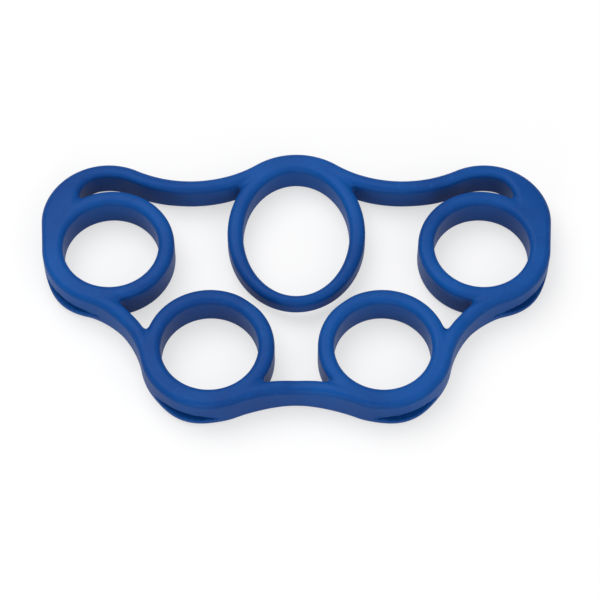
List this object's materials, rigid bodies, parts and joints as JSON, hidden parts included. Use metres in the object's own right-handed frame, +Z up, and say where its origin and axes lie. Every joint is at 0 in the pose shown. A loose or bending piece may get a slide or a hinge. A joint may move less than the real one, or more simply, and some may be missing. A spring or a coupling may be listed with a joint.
{
  "type": "hand grip strengthener",
  "caption": "Blue silicone finger stretcher: an elastic wavy band that joins round finger rings to an oval thumb ring, opened against its own stretch to train the hand.",
  "frame": {"origin": "on the resting plane, at the middle of the outline", "axes": "+X along the row of fingers, +Y towards the thumb ring's crown, +Z up out of the flat face"},
  "size_m": [0.145, 0.0828, 0.011],
  "materials": {
    "blue_silicone": "satin, moulded"
  },
  "bodies": {
    "thumb": {"thumb_ring": "blue_silicone", "top_band": "blue_silicone", "top_left_strap": "blue_silicone", "top_right_strap": "blue_silicone"},
    "upper_left": {"upper_left_ring": "blue_silicone", "upper_left_band": "blue_silicone", "left_strap": "blue_silicone"},
    "upper_right": {"upper_right_ring": "blue_silicone", "upper_right_band": "blue_silicone", "right_strap": "blue_silicone"},
    "lower_left": {"lower_left_ring": "blue_silicone", "lower_left_band": "blue_silicone"},
    "lower_right": {"lower_right_ring": "blue_silicone", "lower_right_band": "blue_silicone"},
    "bottom_left": {"bottom_left_strap": "blue_silicone"},
    "bottom_right": {"bottom_right_strap": "blue_silicone"}
  },
  "joints": [
    {"name": "left_spread", "type": "slide", "parent": "thumb", "child": "upper_left", "axis": [-1, 0, 0], "range_m": [0, 0.01], "stiffness_N_per_m": 400},
    {"name": "right_spread", "type": "slide", "parent": "thumb", "child": "upper_right", "axis": [1, 0, 0], "range_m": [0, 0.01], "stiffness_N_per_m": 400},
    {"name": "lower_spread", "type": "slide", "parent": "upper_left", "child": "lower_left", "axis": [0, -1, 0], "range_m": [0, 0.008], "stiffness_N_per_m": 400},
    {"name": "lower_right_follow", "type": "slide", "parent": "upper_right", "child": "lower_right", "axis": [0, -1, 0], "range_m": [0, 0.008], "stiffness_N_per_m": 400},
    {"name": "bottom_left_stretch", "type": "slide", "parent": "lower_left", "child": "bottom_left", "axis": [1, 0, 0], "range_m": [0, 0.01]},
    {"name": "bottom_right_stretch", "type": "slide", "parent": "lower_right", "child": "bottom_right", "axis": [-1, 0, 0], "range_m": [0, 0.01]}
  ],
  "couplings": [
    {"joint": "lower_right_follow", "follows": "lower_spread", "ratio": 1},
    {"joint": "bottom_left_stretch", "follows": "left_spread", "ratio": 1},
    {"joint": "bottom_right_stretch", "follows": "right_spread", "ratio": 1}
  ]
}
